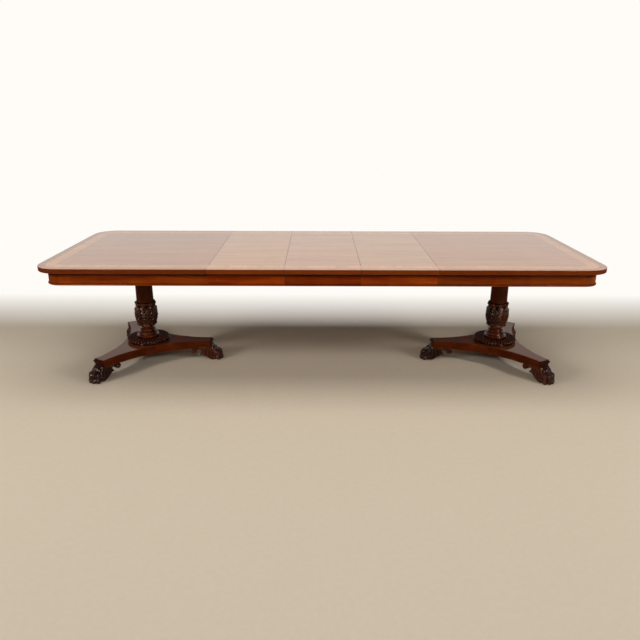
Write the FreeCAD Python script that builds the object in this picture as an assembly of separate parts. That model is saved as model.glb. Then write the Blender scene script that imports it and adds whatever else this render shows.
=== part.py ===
"""Double pedestal dining table with a banded top, three leaves and carved pedestals.

Millimetres, +Z up. The origin is on the floor under the middle of the table, and +X runs
along its length. The table stands open, with all leaves in place, on two pedestals.
"""
import FreeCAD, Part
import math
import os

# Table top and leaves
TABLE_HEIGHT = 749.0
TOP_WIDTH = 1140.0
TOP_THICKNESS = 27.0
TOP_CORNER_RADIUS = 134.0
TOP_ARRIS = 3.0
HALF_LENGTH = 953.0
LEAF_LENGTH = 423.0
LEAF_COUNT = 3
LEAF_SEAM = 0.9

# Satinwood band let into the top, and the glue line round it
BAND_INSET = 40.0
BAND_WIDTH = 63.0
BAND_DEPTH = 1.5
BAND_GLUE_LINE = 0.2

# Apron under the edge of the top, with a bead along its foot
APRON_INSET = 48.0
APRON_THICKNESS = 20.0
APRON_HEIGHT = 68.0
BEAD_HEIGHT = 10.0
BEAD_PROJECTION = 5.0
BEAD_ROUNDING = 4.6
GLUE_BLOCK_SIZE = 34.0
GLUE_BLOCK_LENGTH = 60.0
GLUE_BLOCKS_PER_SIDE = 3

# Extension slides, three rails side by side in a front and a back set
RAIL_LENGTH = 1150.0
RAIL_SEAT_LENGTH = 573.0
RAIL_WIDTH = 28.0
RAIL_HEIGHT = 58.0
RAIL_SET_SPACING = 404.0
RAIL_TONGUE_HEIGHT = 15.4
RAIL_TONGUE_DEPTH = 8.7
SLIDE_CLEARANCE = 0.3
CROSS_TIE_WIDTH = 60.0
CROSS_TIE_HEIGHT = 40.0
CROSS_TIE_CLEARANCE = 27.5

# Pedestal stack, from the floor up
PEDESTAL_FROM_SEAM = 512.0
FOOT_HEIGHT = 80.0
PLATFORM_THICKNESS = 52.0
GADROON_HEIGHT = 28.0
COLLAR_HEIGHT = 75.0
VASE_HEIGHT = 159.0
HEAD_PLATE_SIZE = 260.0
HEAD_PLATE_THICKNESS = 24.0
HEAD_PLATE_CORNER = 30.0

# Three-armed platform with hollowed sides
ARM_COUNT = 3
ARM_REACH = 411.0
ARM_END_WIDTH = 76.0
PLATFORM_WAIST_RADIUS = 147.0
PLATFORM_ARRIS = 2.5

# Paw foot below each arm's end
FOOT_REACH = 490.0
FOOT_WIDTH = 92.0
FOOT_SOLE_LENGTH = 70.0
FOOT_RISE = 18.0
TOE_OVERHANG = 12.0
TOE_COUNT = 4
TOE_FAN = 72.0
TOE_LENGTH = 43.0
TOE_RADIUS = 13.0
TOE_FLAT = 2.0
KNUCKLE_HEIGHT = 44.0
KNUCKLE_RADIUS = 12.0
KNUCKLE_SETBACK = 6.0

# Leaf bracket behind the paw, with a scroll at its inner end
BRACKET_LENGTH = 127.0
BRACKET_WIDTH = 80.0
BRACKET_LEAF_LENGTH = 70.0
BRACKET_LEAF_DROP = 42.0
SCROLL_RADIUS = 17.0
SCROLL_DROP = 37.0

# Moulding across each arm's end: a fillet, a roll and a cove
FILLET_REACH = 3.0
FILLET_HEIGHT = 6.0
ROLL_RADIUS = 6.5
ROLL_REACH = 13.0
ARM_COVE_REACH = 5.0
ARM_COVE_DEPTH = 2.0
MOULDING_CLEARANCE = 0.5

# Gadrooned disc on a plain step
GADROON_REACH = 134.0
GADROON_COUNT = 40
GADROON_RADIUS = 10.0
GADROON_FALL = 3.0
GADROON_INNER_REACH = 74.0
GADROON_INNER_RADIUS = 5.6
GADROON_STEP_RADIUS = 130.0
GADROON_STEP_HEIGHT = 11.0

# Turned collar of four rings, the widest at its foot, with coves between them
BASE_RING_RADIUS = 69.5
BASE_RING_HEIGHT = 17.0
MIDDLE_RING_RADIUS = 64.0
MIDDLE_RING_HEIGHT = 15.0
UPPER_RING_RADIUS = 52.0
UPPER_RING_HEIGHT = 10.0
NECK_RING_RADIUS = 43.5
NECK_RING_HEIGHT = 11.0
RING_FULLNESS = 0.45
COLLAR_COVE_DEPTH = 1.5

# Carved vase with raised leaves, and the plain column on it
VASE_BASE_RADIUS = 45.0
VASE_FOOT_RADIUS = 62.0
VASE_FOOT_HEIGHT = 9.0
VASE_FOOT_ROUNDING = 2.0
VASE_RADIUS = 72.0
VASE_THROAT_RADIUS = 60.0
VASE_THROAT_DROP = 20.0
VASE_LIP_RADIUS = 69.0
VASE_LIP_DROP = 8.0
VASE_LIP_ROUNDING = 3.0
VASE_LEAF_COUNT = 8
VASE_LEAF_RELIEF = 3.5
VASE_LEAF_BASE = 22.0
VASE_LEAF_FULLEST = 0.42
TALL_LEAF_LENGTH = 112.0
TALL_LEAF_WIDTH = 46.0
SHORT_LEAF_LENGTH = 64.0
SHORT_LEAF_WIDTH = 32.0
COLUMN_FOOT_RADIUS = 53.5
COLUMN_HEAD_RADIUS = 51.5

# Tie rod that clamps the pedestal together, with its nuts and washers
ROD_RADIUS = 8.0
ROD_BORE_CLEARANCE = 0.5
NUT_ACROSS_FLATS = 24.0
NUT_HEIGHT = 10.0
WASHER_RADIUS = 20.0
WASHER_THICKNESS = 2.5
COUNTERBORE_RADIUS = 23.0
ROD_END_COVER = 3.0

# Levels and places that follow from the sizes above
TOP_UNDERSIDE = TABLE_HEIGHT - TOP_THICKNESS
APRON_FOOT = TOP_UNDERSIDE - APRON_HEIGHT
SEAM_X = LEAF_COUNT * LEAF_LENGTH / 2
SEAM_FACE_X = SEAM_X + LEAF_SEAM / 2
END_X = SEAM_X + HALF_LENGTH
CORNER_X = END_X - TOP_CORNER_RADIUS
CORNER_Y = TOP_WIDTH / 2 - TOP_CORNER_RADIUS
RAIL_SEAT_END = SEAM_X + RAIL_SEAT_LENGTH
PEDESTAL_X = SEAM_X + PEDESTAL_FROM_SEAM
PLATFORM_TOP = FOOT_HEIGHT + PLATFORM_THICKNESS
GADROON_TOP = PLATFORM_TOP + GADROON_HEIGHT
COLLAR_TOP = GADROON_TOP + COLLAR_HEIGHT
VASE_TOP = COLLAR_TOP + VASE_HEIGHT
COLUMN_TOP = TOP_UNDERSIDE - HEAD_PLATE_THICKNESS
ROD_BORE_RADIUS = ROD_RADIUS + ROD_BORE_CLEARANCE
COUNTERBORE_DEPTH = NUT_HEIGHT + WASHER_THICKNESS + ROD_END_COVER
ARM_ANGLES = {"inner": 180.0, "front": -60.0, "back": 60.0}

VECTOR = FreeCAD.Vector
ORIGIN = VECTOR(0, 0, 0)
X_AXIS = VECTOR(1, 0, 0)
Z_AXIS = VECTOR(0, 0, 1)


def block(x_range, y_range, z_range):
    """Box between two X, two Y and two Z values, given in any order."""
    lows = [min(r) for r in (x_range, y_range, z_range)]
    sizes = [abs(r[1] - r[0]) for r in (x_range, y_range, z_range)]
    return Part.makeBox(*sizes, VECTOR(*lows))


def line(start, end):
    return Part.LineSegment(start, end).toShape()


def arc(start, middle, end):
    return Part.Arc(start, middle, end).toShape()


def spline(points):
    curve = Part.BSplineCurve()
    curve.interpolate(points)
    return curve.toShape()


def face_of(edges):
    return Part.Face(Part.Wire(edges))


def bulged(start, end, bulge):
    """Line from start to end in the XZ plane, or an arc that bulges to its right."""
    if abs(bulge) < 0.01:
        return line(start, end)
    chord = end.sub(start)
    outward = VECTOR(chord.z, 0, -chord.x).normalize()
    middle = start.add(end).multiply(0.5).add(outward.multiply(bulge))
    return arc(start, middle, end)


def turned(base, bore, profile):
    """Turned piece on the Z axis. The profile has (radius, height, bulge) from the base up."""
    points = [VECTOR(radius, 0, base + height) for radius, height, _ in profile]
    first = VECTOR(bore, 0, points[0].z)
    last = VECTOR(bore, 0, points[-1].z)
    edges = [line(first, points[0])]
    for start, end, step in zip(points, points[1:], profile[1:]):
        edges.append(bulged(start, end, step[2]))
    edges += [line(points[-1], last), line(last, first)]
    return face_of(edges).revolve(ORIGIN, Z_AXIS, 360)


def capsule(start, start_radius, end, end_radius):
    """Smooth hull of two balls: the shape of a toe or of one gadroon."""
    length = end.sub(start).Length
    slope = (start_radius - end_radius) / length
    rim = math.sqrt(1 - slope * slope)

    def meridian(radius, height, angle_cosine, angle_sine):
        return VECTOR(radius * angle_cosine, 0, height + radius * angle_sine)

    half = math.sqrt(0.5)
    low = VECTOR(0, 0, -start_radius)
    low_rim = meridian(start_radius, 0, rim, slope)
    high_rim = meridian(end_radius, length, rim, slope)
    high = VECTOR(0, 0, length + end_radius)
    edges = [
        arc(low, meridian(start_radius, 0, half, -half), low_rim),
        line(low_rim, high_rim),
        arc(high_rim, meridian(end_radius, length, half, half), high),
        line(high, low),
    ]
    solid = face_of(edges).revolve(ORIGIN, Z_AXIS, 360)
    turn = FreeCAD.Rotation(Z_AXIS, end.sub(start))
    solid.Placement = FreeCAD.Placement(start, turn)
    return solid


def half_outline(inset, level):
    """Outline of the right half's top, moved in by the inset on its three free sides."""
    right = END_X - inset
    side = TOP_WIDTH / 2 - inset
    radius = max(TOP_CORNER_RADIUS - inset, 1.0)
    skew = radius * (1 - math.sqrt(0.5))

    def at(x, y):
        return VECTOR(x, y, level)

    return face_of([
        line(at(SEAM_FACE_X, -side), at(right - radius, -side)),
        arc(at(right - radius, -side), at(right - skew, -side + skew), at(right, -side + radius)),
        line(at(right, -side + radius), at(right, side - radius)),
        arc(at(right, side - radius), at(right - skew, side - skew), at(right - radius, side)),
        line(at(right - radius, side), at(SEAM_FACE_X, side)),
        line(at(SEAM_FACE_X, side), at(SEAM_FACE_X, -side)),
    ])


def half_plate(inset, low, high):
    return half_outline(inset, low).extrude(VECTOR(0, 0, high - low))


def half_border(outer_inset, inner_inset, low, high):
    """Band that follows the half's three free sides."""
    return half_plate(outer_inset, low, high).cut(half_plate(inner_inset, low, high))


def eased(plate, radius, seam_faces):
    """Rounds a plate's level edges, except those on its seam faces."""
    def is_free(edge):
        box = edge.BoundBox
        on_seam = any(abs(box.XMin - x) < 0.01 and abs(box.XMax - x) < 0.01 for x in seam_faces)
        return box.ZLength < 0.01 and not on_seam

    return plate.makeFillet(radius, [edge for edge in plate.Edges if is_free(edge)])


def half_top():
    plate = eased(half_plate(0, TOP_UNDERSIDE, TABLE_HEIGHT), TOP_ARRIS, [SEAM_FACE_X])
    groove = half_border(BAND_INSET, BAND_INSET + BAND_WIDTH, TABLE_HEIGHT - BAND_DEPTH, TABLE_HEIGHT)
    return plate.cut(groove)


def half_band():
    outer = BAND_INSET + BAND_GLUE_LINE
    inner = BAND_INSET + BAND_WIDTH - BAND_GLUE_LINE
    return half_border(outer, inner, TABLE_HEIGHT - BAND_DEPTH, TABLE_HEIGHT)


def side_apron(x_range, side):
    """Straight apron board along the front (side -1) or the back (side 1)."""
    outer = TOP_WIDTH / 2 - APRON_INSET
    return block(x_range, (side * outer, side * (outer - APRON_THICKNESS)), (APRON_FOOT, TOP_UNDERSIDE))


def end_apron():
    outer = END_X - APRON_INSET
    return block((outer - APRON_THICKNESS, outer), (-CORNER_Y, CORNER_Y), (APRON_FOOT, TOP_UNDERSIDE))


def apron_corner(side):
    """Curved corner piece between a side apron and the end apron."""
    outer = TOP_CORNER_RADIUS - APRON_INSET
    ring = Part.makeCylinder(outer, APRON_HEIGHT)
    ring = ring.cut(Part.makeCylinder(outer - APRON_THICKNESS, APRON_HEIGHT))
    quarter = ring.common(block((0, outer), (0, side * outer), (0, APRON_HEIGHT)))
    quarter.translate(VECTOR(CORNER_X, side * CORNER_Y, APRON_FOOT))
    return quarter


def half_bead():
    """Bead below the apron: three straight strips and two curved ones, butted end to end."""
    low = APRON_FOOT - BEAD_HEIGHT
    outer = half_plate(APRON_INSET - BEAD_PROJECTION, low, APRON_FOOT)
    rounded = eased(outer, BEAD_ROUNDING, [SEAM_FACE_X])
    whole = rounded.cut(half_plate(APRON_INSET + APRON_THICKNESS, low, APRON_FOOT))
    levels = (low, APRON_FOOT)
    side = TOP_WIDTH / 2
    zones = [((CORNER_X, END_X), (-CORNER_Y, CORNER_Y))]
    for sign in (-1, 1):
        zones.append(((SEAM_X, CORNER_X), (0, sign * side)))
        zones.append(((CORNER_X, END_X), (sign * CORNER_Y, sign * side)))
    return Part.makeCompound([whole.common(block(x, y, levels)) for x, y in zones])


def glue_blocks():
    """Three-cornered blocks glued behind the side aprons, under the top."""
    inner = TOP_WIDTH / 2 - APRON_INSET - APRON_THICKNESS
    pitch = (CORNER_X - SEAM_X) / GLUE_BLOCKS_PER_SIDE
    blocks = []
    for side in (-1, 1):
        for index in range(GLUE_BLOCKS_PER_SIDE):
            start = SEAM_X + pitch * (index + 0.5) - GLUE_BLOCK_LENGTH / 2
            corner = VECTOR(start, side * inner, TOP_UNDERSIDE)
            along_top = VECTOR(start, side * (inner - GLUE_BLOCK_SIZE), TOP_UNDERSIDE)
            down_apron = VECTOR(start, side * inner, TOP_UNDERSIDE - GLUE_BLOCK_SIZE)
            section = face_of([
                line(corner, along_top), line(along_top, down_apron), line(down_apron, corner)])
            blocks.append(section.extrude(VECTOR(GLUE_BLOCK_LENGTH, 0, 0)))
    return Part.makeCompound(blocks)


def leaf_span(index):
    """X range of one leaf, between its seams."""
    start = (index - LEAF_COUNT / 2) * LEAF_LENGTH
    return start + LEAF_SEAM / 2, start + LEAF_LENGTH - LEAF_SEAM / 2


def leaf_bands(index, glue_line):
    """Satinwood strips along the leaf's front and back edges, or their grooves."""
    outer = TOP_WIDTH / 2 - BAND_INSET - glue_line
    inner = TOP_WIDTH / 2 - BAND_INSET - BAND_WIDTH + glue_line
    levels = (TABLE_HEIGHT - BAND_DEPTH, TABLE_HEIGHT)
    strips = [block(leaf_span(index), (side * inner, side * outer), levels) for side in (-1, 1)]
    return Part.makeCompound(strips)


def leaf_panel(index):
    span = leaf_span(index)
    side = TOP_WIDTH / 2
    panel = block(span, (-side, side), (TOP_UNDERSIDE + SLIDE_CLEARANCE, TABLE_HEIGHT))
    return eased(panel, TOP_ARRIS, span).cut(leaf_bands(index, 0))


def leaf_apron(index, side):
    outer = TOP_WIDTH / 2 - APRON_INSET
    levels = (APRON_FOOT, TOP_UNDERSIDE + SLIDE_CLEARANCE)
    return block(leaf_span(index), (side * outer, side * (outer - APRON_THICKNESS)), levels)


def leaf_beads(index):
    span = leaf_span(index)
    outer = TOP_WIDTH / 2 - APRON_INSET + BEAD_PROJECTION
    inner = TOP_WIDTH / 2 - APRON_INSET - APRON_THICKNESS
    levels = (APRON_FOOT - BEAD_HEIGHT, APRON_FOOT)
    rounded = eased(block(span, (-outer, outer), levels), BEAD_ROUNDING, span)
    return rounded.cut(block(span, (-inner, inner), levels))


def rail(start, set_side, lane, tongues):
    """One slide rail. Lane -1 is the inner rail of its set, 0 the middle, 1 the outer one.

    A rail has a groove or a tongue on each face that meets another rail of its set.
    """
    centre = RAIL_SET_SPACING / 2 + lane * (RAIL_WIDTH + SLIDE_CLEARANCE)
    span = (start, start + RAIL_LENGTH)
    low = TOP_UNDERSIDE - RAIL_HEIGHT
    middle = TOP_UNDERSIDE - RAIL_HEIGHT / 2
    faces = (set_side * (centre - RAIL_WIDTH / 2), set_side * (centre + RAIL_WIDTH / 2))
    shape = block(span, faces, (low, TOP_UNDERSIDE))
    if tongues:
        reach = RAIL_WIDTH / 2 + RAIL_TONGUE_DEPTH
        height = RAIL_TONGUE_HEIGHT / 2
        sides = (set_side * (centre - reach), set_side * (centre + reach))
        return shape.fuse(block(span, sides, (middle - height, middle + height))).removeSplitter()
    height = RAIL_TONGUE_HEIGHT / 2 + SLIDE_CLEARANCE
    mouth = centre - lane * RAIL_WIDTH / 2
    floor = mouth + lane * (RAIL_TONGUE_DEPTH + SLIDE_CLEARANCE)
    return shape.cut(block(span, (set_side * mouth, set_side * floor), (middle - height, middle + height)))


def half_rail(half, set_side):
    """Rail screwed under a half: the left half has the inner lanes, the right the outer."""
    if half == "left":
        return rail(-RAIL_SEAT_END, set_side, -1, False)
    return rail(RAIL_SEAT_END - RAIL_LENGTH, set_side, 1, False)


def centre_rail(set_side):
    return rail(-RAIL_LENGTH / 2, set_side, 0, True)


def cross_tie():
    """Batten that joins the two middle rails past the ends of the left half's, notched over tongues."""
    start = RAIL_LENGTH - RAIL_SEAT_END + CROSS_TIE_CLEARANCE
    low = TOP_UNDERSIDE - RAIL_HEIGHT
    reach = RAIL_SET_SPACING / 2 - RAIL_WIDTH / 2
    tie = block((start, start + CROSS_TIE_WIDTH), (-reach, reach), (low, low + CROSS_TIE_HEIGHT))
    return tie.cut(centre_rail(-1)).cut(centre_rail(1))


def rod_bore(low, high):
    return Part.makeCylinder(ROD_BORE_RADIUS, high - low, VECTOR(0, 0, low))


def counterbore(low):
    return Part.makeCylinder(COUNTERBORE_RADIUS, COUNTERBORE_DEPTH, VECTOR(0, 0, low))


def head_plate():
    """Plate screwed under the half, bored for the rod and sunk for its upper nut."""
    half = HEAD_PLATE_SIZE / 2
    plate = block((-half, half), (-half, half), (COLUMN_TOP, TOP_UNDERSIDE))
    uprights = [edge for edge in plate.Edges if edge.BoundBox.ZLength > HEAD_PLATE_THICKNESS / 2]
    plate = plate.makeChamfer(HEAD_PLATE_CORNER, uprights)
    plate = plate.cut(rod_bore(COLUMN_TOP, TOP_UNDERSIDE))
    return plate.cut(counterbore(TOP_UNDERSIDE - COUNTERBORE_DEPTH))


def column():
    return turned(VASE_TOP, ROD_BORE_RADIUS, [
        (COLUMN_FOOT_RADIUS, 0, 0),
        (COLUMN_HEAD_RADIUS, COLUMN_TOP - VASE_TOP, 0),
    ])


def vase_blank(relief):
    """Turned blank of the carved vase: a curled foot, a full belly and a flared lip."""
    quirk = VASE_FOOT_RADIUS - VASE_FOOT_ROUNDING
    belly = VASE_RADIUS - (quirk + VASE_THROAT_RADIUS) / 2
    return turned(COLLAR_TOP, ROD_BORE_RADIUS, [
        (VASE_BASE_RADIUS, 0, 0),
        (VASE_FOOT_RADIUS + relief, VASE_FOOT_HEIGHT, VASE_FOOT_ROUNDING),
        (quirk + relief, 2 * VASE_FOOT_HEIGHT, VASE_FOOT_ROUNDING),
        (VASE_THROAT_RADIUS + relief, VASE_HEIGHT - VASE_THROAT_DROP, belly),
        (VASE_LIP_RADIUS, VASE_HEIGHT - VASE_LIP_DROP, -VASE_LIP_ROUNDING),
        (VASE_LIP_RADIUS - VASE_LIP_ROUNDING, VASE_HEIGHT, VASE_LIP_ROUNDING / 2),
    ])


def vase_leaf(length, width):
    """Pointed leaf cut radially, to meet the raised blank. It points along +X."""
    low = COLLAR_TOP + VASE_LEAF_BASE
    base = VECTOR(0, 0, low)
    tip = VECTOR(0, 0, low + length)
    fullest = low + length * VASE_LEAF_FULLEST
    sides = [arc(base, VECTOR(0, side * width / 2, fullest), tip) for side in (-1, 1)]
    return face_of(sides).extrude(VECTOR(2 * VASE_RADIUS, 0, 0))


def carved_vase():
    """Vase with two tiers of raised leaves, the short ones between the tall ones."""
    raised = vase_blank(VASE_LEAF_RELIEF)
    tall = vase_leaf(TALL_LEAF_LENGTH, TALL_LEAF_WIDTH).common(raised)
    short = vase_leaf(SHORT_LEAF_LENGTH, SHORT_LEAF_WIDTH).common(raised)
    pitch = 360.0 / VASE_LEAF_COUNT
    leaves = []
    for index in range(VASE_LEAF_COUNT):
        leaves.append(tall.rotated(ORIGIN, Z_AXIS, index * pitch))
        leaves.append(short.rotated(ORIGIN, Z_AXIS, (index + 0.5) * pitch))
    return vase_blank(0).multiFuse(leaves)


def turned_collar():
    """Four turned rings between the gadrooned disc and the vase, with a cove above each but the last."""
    rings = [
        (BASE_RING_RADIUS, BASE_RING_HEIGHT),
        (MIDDLE_RING_RADIUS, MIDDLE_RING_HEIGHT),
        (UPPER_RING_RADIUS, UPPER_RING_HEIGHT),
        (NECK_RING_RADIUS, NECK_RING_HEIGHT),
    ]
    cove = (COLLAR_HEIGHT - sum(height for _, height in rings)) / (len(rings) - 1)
    profile = []
    level = 0
    for radius, height in rings:
        bulge = RING_FULLNESS * height
        profile.append((radius - bulge, level, -COLLAR_COVE_DEPTH))
        profile.append((radius - bulge, level + height, bulge))
        level += height + cove
    return turned(GADROON_TOP, ROD_BORE_RADIUS, profile)


def gadrooned_base():
    """Plain step below a ring of gadroons, which swell from the collar out to the rim."""
    rim = GADROON_REACH - GADROON_RADIUS
    rim_height = GADROON_HEIGHT - GADROON_FALL - GADROON_RADIUS
    core = turned(PLATFORM_TOP, ROD_BORE_RADIUS, [
        (GADROON_STEP_RADIUS, 0, 0),
        (GADROON_STEP_RADIUS, GADROON_STEP_HEIGHT, 0),
        (rim, rim_height, 0),
        (BASE_RING_RADIUS, GADROON_HEIGHT, 0),
    ])
    gadroon = capsule(
        VECTOR(GADROON_INNER_REACH, 0, GADROON_TOP - GADROON_INNER_RADIUS), GADROON_INNER_RADIUS,
        VECTOR(rim, 0, PLATFORM_TOP + rim_height), GADROON_RADIUS)
    pitch = 360.0 / GADROON_COUNT
    ring = [gadroon.rotated(ORIGIN, Z_AXIS, index * pitch) for index in range(GADROON_COUNT)]
    return core.multiFuse(ring)


def polar(radius, angle, level):
    turn = math.radians(angle)
    return VECTOR(radius * math.cos(turn), radius * math.sin(turn), level)


def platform():
    """Three-armed plate: straight arm ends joined by hollow sides."""
    pitch = 360.0 / ARM_COUNT
    corner_radius = math.hypot(ARM_REACH, ARM_END_WIDTH / 2)
    spread = math.degrees(math.atan2(ARM_END_WIDTH / 2, ARM_REACH))
    edges = []
    for index in range(ARM_COUNT):
        angle = ARM_ANGLES["inner"] + index * pitch
        first = polar(corner_radius, angle - spread, FOOT_HEIGHT)
        second = polar(corner_radius, angle + spread, FOOT_HEIGHT)
        following = polar(corner_radius, angle + pitch - spread, FOOT_HEIGHT)
        waist = polar(PLATFORM_WAIST_RADIUS, angle + pitch / 2, FOOT_HEIGHT)
        edges += [line(first, second), arc(second, waist, following)]
    plate = face_of(edges).extrude(VECTOR(0, 0, PLATFORM_THICKNESS))
    rim = [edge for edge in plate.Edges if edge.BoundBox.ZMin > PLATFORM_TOP - 0.01]
    plate = plate.makeFillet(PLATFORM_ARRIS, rim)
    return plate.cut(rod_bore(FOOT_HEIGHT, PLATFORM_TOP)).cut(counterbore(FOOT_HEIGHT))


def foot_side_profile():
    """Foot seen from the side: instep, sole, heel, and the leaf bracket with its scroll."""
    sole_front = FOOT_REACH - TOE_OVERHANG
    heel = sole_front - FOOT_SOLE_LENGTH
    crown = FOOT_HEIGHT + FOOT_RISE
    scroll_level = FOOT_HEIGHT - SCROLL_DROP + SCROLL_RADIUS

    def at(reach, level):
        return VECTOR(reach, 0, level)

    under_arm = at(ARM_REACH - BRACKET_LENGTH, FOOT_HEIGHT)
    scroll_inner = at(under_arm.x, scroll_level)
    scroll_foot = at(under_arm.x + SCROLL_RADIUS, FOOT_HEIGHT - SCROLL_DROP)
    scroll_outer = at(under_arm.x + 2 * SCROLL_RADIUS, scroll_level)
    leaf_tip = at(ARM_REACH - BRACKET_LEAF_LENGTH, FOOT_HEIGHT - BRACKET_LEAF_DROP)
    instep = spline([
        at(ARM_REACH + ARM_COVE_REACH, crown), at(FOOT_REACH - 3 * TOE_OVERHANG, crown - FOOT_RISE / 2),
        at(FOOT_REACH - TOE_OVERHANG, FOOT_HEIGHT - TOE_OVERHANG / 2), at(FOOT_REACH, FOOT_HEIGHT * 0.4),
        at(sole_front, 0)])
    hock = spline([
        at(heel, 0), at(heel - TOE_OVERHANG, FOOT_HEIGHT * 0.25),
        at(heel - 3 * TOE_OVERHANG, FOOT_HEIGHT * 0.4), leaf_tip])
    return face_of([
        line(under_arm, at(ARM_REACH, FOOT_HEIGHT)),
        line(at(ARM_REACH, FOOT_HEIGHT), at(ARM_REACH, crown)),
        line(at(ARM_REACH, crown), at(ARM_REACH + ARM_COVE_REACH, crown)),
        instep,
        line(at(sole_front, 0), at(heel, 0)),
        hock,
        bulged(leaf_tip, scroll_outer, SCROLL_RADIUS / 3),
        arc(scroll_outer, scroll_foot, scroll_inner),
        line(scroll_inner, under_arm),
    ])


def foot_plan_profile():
    """Foot seen from above: a straight bracket that widens to the blunt paw."""
    inner = ARM_REACH - BRACKET_LENGTH
    heel = FOOT_REACH - TOE_OVERHANG - FOOT_SOLE_LENGTH
    narrow = BRACKET_WIDTH / 2
    wide = FOOT_WIDTH / 2

    def flank(side):
        return spline([
            VECTOR(inner, side * narrow, 0), VECTOR(heel, side * narrow, 0),
            VECTOR(FOOT_REACH - wide, side * wide, 0),
            VECTOR(FOOT_REACH - TOE_OVERHANG, side * wide * math.sqrt(0.5), 0),
            VECTOR(FOOT_REACH, 0, 0)])

    return face_of([
        line(VECTOR(inner, narrow, 0), VECTOR(inner, -narrow, 0)), flank(-1), flank(1)])


def paw_foot():
    """Carved paw with fanned toes, sawn to its side and plan profiles. The arm runs along +X."""
    flank = foot_side_profile()
    flank.translate(VECTOR(0, -FOOT_WIDTH, 0))
    body = flank.extrude(VECTOR(0, 2 * FOOT_WIDTH, 0))
    body = body.common(foot_plan_profile().extrude(VECTOR(0, 0, FOOT_HEIGHT + FOOT_RISE)))
    fan_centre = VECTOR(FOOT_REACH - TOE_LENGTH, 0, 0)
    tip_reach = TOE_LENGTH - TOE_RADIUS
    toes = []
    for index in range(TOE_COUNT):
        angle = TOE_FAN * (2 * index / (TOE_COUNT - 1) - 1)
        tip = polar(tip_reach, angle, TOE_RADIUS - TOE_FLAT).add(fan_centre)
        knuckle = polar(tip_reach - KNUCKLE_SETBACK, angle, KNUCKLE_HEIGHT).add(fan_centre)
        toes.append(capsule(tip, TOE_RADIUS, knuckle, KNUCKLE_RADIUS))
    paw = body.multiFuse(toes)
    return paw.cut(block((0, 2 * FOOT_REACH), (-FOOT_WIDTH, FOOT_WIDTH), (-FOOT_HEIGHT, 0)))


def arm_scroll():
    """Moulding planted on the end of an arm along +X: a fillet, a roll and a cove."""
    foot = FOOT_HEIGHT + FOOT_RISE + MOULDING_CLEARANCE
    fillet = ARM_REACH + FILLET_REACH
    roll = ARM_REACH + ROLL_REACH - ROLL_RADIUS
    roll_top = PLATFORM_TOP - FILLET_HEIGHT
    cove = ARM_REACH + ARM_COVE_REACH

    def at(reach, level):
        return VECTOR(reach, -ARM_END_WIDTH / 2, level)

    roll_foot = at(roll, roll_top - 2 * ROLL_RADIUS)
    section = face_of([
        line(at(ARM_REACH, foot), at(ARM_REACH, PLATFORM_TOP)),
        line(at(ARM_REACH, PLATFORM_TOP), at(fillet, PLATFORM_TOP)),
        line(at(fillet, PLATFORM_TOP), at(fillet, roll_top)),
        line(at(fillet, roll_top), at(roll, roll_top)),
        arc(at(roll, roll_top), at(roll + ROLL_RADIUS, roll_top - ROLL_RADIUS), roll_foot),
        bulged(roll_foot, at(cove, foot), ARM_COVE_DEPTH),
        line(at(cove, foot), at(ARM_REACH, foot)),
    ])
    return section.extrude(VECTOR(0, ARM_END_WIDTH, 0))


def hex_nut(low):
    corner = NUT_ACROSS_FLATS / math.sqrt(3)
    points = [polar(corner, 60 * index, low) for index in range(6)]
    sides = [line(start, end) for start, end in zip(points, points[1:] + points[:1])]
    return face_of(sides).extrude(VECTOR(0, 0, NUT_HEIGHT))


def tie_rod():
    """Rod through the whole pedestal, with a washer and a nut drawn up at each end."""
    low_seat = FOOT_HEIGHT + COUNTERBORE_DEPTH
    high_seat = TOP_UNDERSIDE - COUNTERBORE_DEPTH
    low_end = FOOT_HEIGHT + ROD_END_COVER
    high_end = TOP_UNDERSIDE - ROD_END_COVER
    rod = Part.makeCylinder(ROD_RADIUS, high_end - low_end, VECTOR(0, 0, low_end))
    washers = [
        Part.makeCylinder(WASHER_RADIUS, WASHER_THICKNESS, VECTOR(0, 0, low_seat - WASHER_THICKNESS)),
        Part.makeCylinder(WASHER_RADIUS, WASHER_THICKNESS, VECTOR(0, 0, high_seat)),
    ]
    nuts = [hex_nut(low_end), hex_nut(high_end - NUT_HEIGHT)]
    return rod.multiFuse(washers + nuts)


def pedestal_pieces():
    """Pieces of the right pedestal, on its own axis, with its inner arm along -X."""
    pieces = {
        "head_plate": head_plate(),
        "column": column(),
        "carved_vase": carved_vase(),
        "turned_collar": turned_collar(),
        "gadrooned_base": gadrooned_base(),
        "platform": platform(),
        "tie_rod": tie_rod(),
    }
    foot = paw_foot()
    scroll = arm_scroll()
    for name, angle in ARM_ANGLES.items():
        pieces[name + "_foot"] = foot.rotated(ORIGIN, Z_AXIS, angle)
    scrolls = [scroll.rotated(ORIGIN, Z_AXIS, angle) for angle in ARM_ANGLES.values()]
    pieces["arm_scrolls"] = Part.makeCompound(scrolls)
    return {name: shape.translated(VECTOR(PEDESTAL_X, 0, 0)) for name, shape in pieces.items()}


def half_pieces():
    """Pieces of the right half that the left half mirrors."""
    straight = (SEAM_FACE_X, CORNER_X)
    pieces = {
        "top": half_top(),
        "satinwood_band": half_band(),
        "front_apron": side_apron(straight, -1),
        "back_apron": side_apron(straight, 1),
        "end_apron": end_apron(),
        "apron_corners": Part.makeCompound([apron_corner(-1), apron_corner(1)]),
        "apron_bead": half_bead(),
        "glue_blocks": glue_blocks(),
    }
    pieces.update(pedestal_pieces())
    return pieces


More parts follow.
